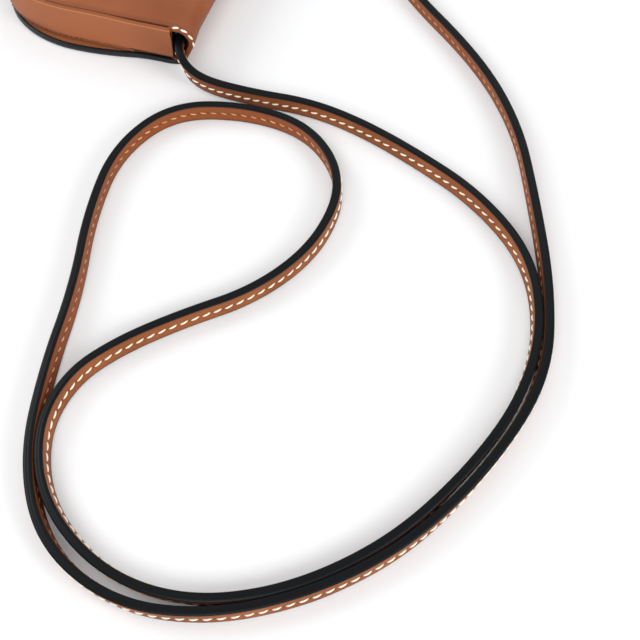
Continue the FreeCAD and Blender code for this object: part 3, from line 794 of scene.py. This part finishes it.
# how far the wall leans and rounds out, and the slant of its ends as heights and reaches
wallSize = {"lean": 0.55, "leanAlong": (2.0, 24.0), "leanUp": (5.0, 15.5), "round": 0.6, "roundFrom": (-12.0, -2.0),
            "roundTo": (3.0, 22.0), "roundBeside": (18.0, 44.0), "foot": 3.6, "tall": 13.6, "fullness": 0.8,
            "slantUp": [3.6, 14.8, 16.3, 17.3], "slantOut": [-0.74, 0.55, 0.3, 0.0], "slantReach": 9.0,
            "steps": 460, "liningSteps": 240, "liningShorter": 0.4}


def wallSwell(line, height):
    # the wall leans out at the top towards the fold, and rounds out as a sine of its height at the bottom corners
    y = line[:, 1]
    lean = wallSize["lean"] * smooth(y, *wallSize["leanAlong"])[:, None] * smooth(height, *wallSize["leanUp"])[None]
    middle = y - (body["foot"] + body["corner"][1] * cornerSlack)
    beside = smooth(middle, *wallSize["roundFrom"]) * (1 - smooth(middle, *wallSize["roundTo"]))
    beside = beside * smooth(np.abs(line[:, 0]), *wallSize["roundBeside"])
    up = np.clip((height - wallSize["foot"]) / wallSize["tall"], 0, 1)
    return lean + wallSize["round"] * beside[:, None] * (np.sin(np.pi * up) ** wallSize["fullness"])[None]


def gussetRings(section, end, count):
    # each end of the wall slants a little, as the front of the fold does
    line, outward, ahead = pouchPath(0.0, end, count)
    height = section[:, 1]
    inward = section[None, :, 0] - wallSwell(line, height)
    flat = line[:, None] - outward[:, None] * inward[..., None]
    slant = np.interp(height, wallSize["slantUp"], wallSize["slantOut"])
    flat[..., 1] += slant[None] * smooth(line[:, 1], end - wallSize["slantReach"], end)[:, None]
    return np.concatenate([flat, np.broadcast_to(height[None, :, None], inward.shape + (1,))], -1)


# heights in the section: the one that carries the painted highlight line, the one below which the ends are painted
# black, the one above which the border's top gets painted shade, and the bare edge in front of the pouch
gussetTone = {"highlightAt": 16.66, "paintBelow": 16.0, "shadeAbove": 16.9, "bareFrom": (14.0, 17.0), "bareBelow": 4.0}
rings = gussetRings(gussetSection, body["gussetEnd"], wallSize["steps"])
points, faces = tube(rings)
height = np.broadcast_to(gussetSection[:, 1], rings.shape[:2])
nearEnd = np.zeros(height.shape)
nearEnd[[0, -1]] = gussetSection[:, 1] < gussetTone["paintBelow"]
freeEdge = smooth(rings[..., 1], *gussetTone["bareFrom"]) * (height < gussetTone["bareBelow"])
# rim marks the painted highlight line along the border's edge, tone the painted shade on top of the border
finishMesh("gussetLeather", points, faces, gussetLeather, "pouch", "tan_leather", ["gusset"],
           {"rim": height == gussetTone["highlightAt"], "tone": height > gussetTone["shadeAbove"],
            "paint": np.maximum(nearEnd, freeEdge)})
points, faces = tube(gussetRings(gussetLiningSection, body["gussetEnd"] - wallSize["liningShorter"],
                                 wallSize["liningSteps"]))
finishMesh("gussetLining", points, faces, liningLeather, "pouch", "lining_leather", ["gusset_lining"])

# seam of the gusset and the front: brown thread seen as short dark stitches, drawn in towards the fold; the thread
# is made very dark, partly its own brown and partly painted shade under the gusset's edge
seamRow = {"inset": 0.05, "before": 15.0, "count": 100, "height": 3.58, "drawnIn": 0.3, "drawnRise": (-3.0, 1.5),
           "uneven": 0.08, "beat": 2.1}
seamSize = {"long": 1.35, "wide": 0.6, "high": 0.6, "slant": 0.0, "curl": 0.0, "proud": 0.02, "sink": 0.25}


def raised(flat, height):
    # flat places or directions with their third number
    return np.concatenate([flat, np.full((len(flat), 1), height)], 1)


line, outward, ahead = pouchPath(seamRow["inset"], body["foldY"] - seamRow["before"], seamRow["count"])
drawnIn = seamRow["drawnIn"] * smooth(line[:, 1:], *seamRow["drawnRise"])
drawnIn = drawnIn - seamRow["uneven"] * np.sin(np.arange(len(line)) * seamRow["beat"])[:, None]
stitches("seamStitches", seamSize, raised(line - outward * drawnIn, seamRow["height"]), raised(ahead, 0.0),
         raised(line * 0, 1.0), raised(outward, 0.0), brownThread)

# level leaves of the pouch: inset, head, lower face and thickness, with a dip or a thumb notch at the head
levelSize = {"ends": 56, "sides": 40}
levelLeaves = [
    ("frontLeather", "front_panel", {"inset": 0.0, "head": 17.25, "low": 2.35, "thick": 1.2, "dip": 2.5}),
    ("frontLining", "front_lining", {"inset": 1.65, "head": 17.2, "low": 3.6, "thick": 0.6, "dip": 2.5}),
    ("backLining", "back_lining", {"inset": 1.65, "head": 31.3, "low": 15.65, "thick": 0.6}),
    ("dividerLeather", "divider", {"inset": 1.7, "head": 25.25, "low": 8.6, "thick": 0.7, "notch": 4.0}),
]
for name, node, size in levelLeaves:
    inset = size["inset"]
    outline = uOutline(dict(levelSize, **size, corner=(body["corner"][0] - inset, body["corner"][1] - inset),
                            foot=body["foot"] + inset, half=body["half"] - inset))
    material, slot = (tanLeather, "tan_leather") if node == "front_panel" else (liningLeather, "lining_leather")
    sheet(name, outline, flatAt(size["low"], size["thick"]), size["thick"], material, "pouch", slot, [node])

# card slips, sewn down both sides and the foot
slipSize = {"half": 46.0, "corner": (4.0, 4.0), "foot": -31.5, "ends": 50, "sides": 36, "notch": 4.0}
slipThick = 0.7
slipRow = {"inset": 1.6, "below": 2.0, "from": 1.5, "pitch": 3.0}
slipStitch = dict(seamSize, long=1.8, wide=0.45)
slips = [("slipUpper", "card_slip_upper", 23.25, 14.65), ("slipLower", "card_slip_lower", 13.25, 13.65)]
for order, (name, node, head, low) in enumerate(slips):
    outline = uOutline(dict(slipSize, head=head))
    sheet(name, outline, flatAt(low, slipThick), slipThick, liningLeather, "pouch", "lining_leather", [node])
    sewn = insetLoop(outline["loop"], slipRow["inset"])[outline["ends"]:]
    sewn = sewn[sewn[:, 1] < head - slipRow["below"]]
    run = runOf(sewn)
    at = np.arange(slipRow["from"], run[-1] - slipRow["from"], slipRow["pitch"])
    spots = pointsAt(sewn, run, at)
    ahead = aheadAt(sewn, run, at, aheadGap)
    sideways = np.stack([-ahead[:, 1], ahead[:, 0]], 1)
    stitches("slipStitches_%d" % order, slipStitch, raised(spots, low), raised(ahead, 0.0), raised(sideways, 0.0),
             raised(spots * 0, -1.0), amberThread)

# strap tabs: a strip whose foot is sewn under the back lining, rolled down beside the strap, and painted black near
# the mouth of the fold as painted shade
tabSize = {"x": 52.35, "thick": 1.5, "long": 10.0, "foot": 11.0, "bend": 4.0, "topZ": 15.6, "legY": 31.875,
           "lowZ": 5.95, "corner": (1.5, 1.5), "ends": 12, "sides": 44, "paintAndShadePast": 50.0}
tabBendRun = tabSize["bend"] * math.pi / 2
tabCentreY, tabCentreZ = tabSize["legY"] - tabSize["bend"], tabSize["topZ"] - tabSize["bend"]


def tabPlace(side):
    # s runs along the foot, round the bend and down the leg; depth goes in from the outer face
    def place(a, s, depth):
        turn = np.clip((s - tabSize["foot"]) / tabSize["bend"], 0, math.pi / 2)
        reach = tabSize["bend"] - depth
        y = tabCentreY - np.maximum(tabSize["foot"] - s, 0) + reach * np.sin(turn)
        z = tabCentreZ + reach * np.cos(turn) - np.maximum(s - tabSize["foot"] - tabBendRun, 0)
        return np.stack([a + side * tabSize["x"], y, z], -1)
    return place


tabOutline = uOutline({"corner": tabSize["corner"], "foot": 0.0, "ends": tabSize["ends"], "sides": tabSize["sides"],
                       "head": tabSize["foot"] + tabBendRun + (tabCentreZ - tabSize["lowZ"]),
                       "half": tabSize["long"] / 2})
for side, end in ((1, "near"), (-1, "far")):
    sheet("strapTab_" + end, tabOutline, tabPlace(side), tabSize["thick"], strapLeather, "pouch", "strap_leather",
          ["strap_tab_" + end], paintAndShadePast=tabSize["paintAndShadePast"])
for node, metalLook in (("screw_posts", satinSteel), ("screw_caps", satinSteel), ("keeper_plate", satinSteel),
                        ("flap_magnet", nickelPlate)):
    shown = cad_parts[node]
    for materialSlot in shown.material_slots:
        materialSlot.material = metalLook
    if not len(shown.material_slots):
        shown.data.materials.append(metalLook)
print("inside: gusset, panels, linings, divider, slips, tabs and metal")

# ---- table, light and camera ----

# the table brightens with distance from the origin, in metres, to a white room
tableSize = {"reach": 6.0, "rough": 0.75, "shine": 0.1, "fade": (0.42, 1.1), "nearGlow": (0.118, 0.118, 0.12, 1.0),
             "farGlow": (0.66, 0.66, 0.67, 1.0)}
floorMesh = bpy.data.meshes.new("tableTop")
reach = tableSize["reach"]
floorMesh.from_pydata([(-reach, -reach, 0), (reach, -reach, 0), (reach, reach, 0), (-reach, reach, 0)], [],
                      [(0, 1, 2, 3)])
floor = bpy.data.objects.new("tableTop", floorMesh)
bpy.context.scene.collection.objects.link(floor)
floor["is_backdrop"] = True
tableWhite, shader, w = startMaterial("tableWhite", {
    "Base Color": ink("E4E5E6"), "Roughness": tableSize["rough"], "Specular IOR Level": tableSize["shine"]})
place = w.node("ShaderNodeTexCoord", output="Object")
away = w.node("ShaderNodeVectorMath", {"operation": "LENGTH"}, {0: place}, 1).rise(*tableSize["fade"])
feed(shader, {"Emission Color": away.blend(tableSize["nearGlow"], tableSize["farGlow"]),
              "Emission Strength": w.node("ShaderNodeLightPath", output="Is Camera Ray")})
floorMesh.materials.append(tableWhite)

world = bpy.data.worlds.new("softRoom")
bpy.context.scene.world = world
world.use_nodes = True
room = world.node_tree.nodes["Background"]
room.inputs["Color"].default_value = (0.98, 0.99, 1.0, 1.0)
feed(room, {"Strength": Wire(world.node_tree).node("ShaderNodeLightPath", output="Is Camera Ray") * 0.5 + 0.5})


def stand(holder, right, up, back, place):
    holder.matrix_world = Matrix([[right[i], up[i], back[i], place[i]] for i in range(3)] + [[0, 0, 0, 1]])


# place, size, watts and colour of each lamp
lampAim = (0.12, 0.1, 0.0)
lamps = {
    "keyLamp": ((1.15, 0.3, 0.85), 0.75, 8.2, (1.0, 0.995, 0.985)),
    "noseLamp": ((0.4, 1.15, 0.6), 0.6, 6.8, (1.0, 1.0, 1.0)),
    "fillLamp": ((0.05, -0.95, 0.72), 0.8, 6.2, (0.99, 0.995, 1.0)),
    "backLamp": ((-0.8, 0.1, 1.0), 0.8, 1.8, (1.0, 1.0, 1.0)),
}
for name, (place, size, watts, colour) in lamps.items():
    lamp = bpy.data.lights.new(name, "AREA")
    lamp.shape = "DISK"
    lamp.size = size
    lamp.energy = watts
    lamp.color = colour
    holder = bpy.data.objects.new(name, lamp)
    bpy.context.scene.collection.objects.link(holder)
    back = np.subtract(place, lampAim)
    back /= np.linalg.norm(back)
    side = np.cross([0.0, 0.0, 1.0], back)
    side /= np.linalg.norm(side)
    stand(holder, side, np.cross(back, side), back, place)

view = {"place": (0.32152, 0.18972, 0.2964), "ahead": (-0.50156, -0.21601, -0.8377),
        "level": (-0.39555, 0.91844, 0.0), "roll": -0.1, "lens": 67.5, "sensor": 36.0}
camera = bpy.data.cameras.new("camera")
camera.lens = view["lens"]
camera.sensor_width = view["sensor"]
cameraHolder = bpy.data.objects.new("camera", camera)
bpy.context.scene.collection.objects.link(cameraHolder)
ahead = np.array(view["ahead"]) / np.linalg.norm(view["ahead"])
level = np.array(view["level"])
level -= ahead * (level @ ahead)
level /= np.linalg.norm(level)
steep = np.cross(level, ahead)
right = level * math.cos(view["roll"]) + steep * math.sin(view["roll"])
up = steep * math.cos(view["roll"]) - level * math.sin(view["roll"])
stand(cameraHolder, right, up, -ahead, view["place"])
bpy.context.scene.camera = cameraHolder
bpy.context.scene.view_settings.view_transform = "Standard"

low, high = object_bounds()
{"cad": [list(cadLow), list(cadHigh)], "visual": [list(low), list(high)]}
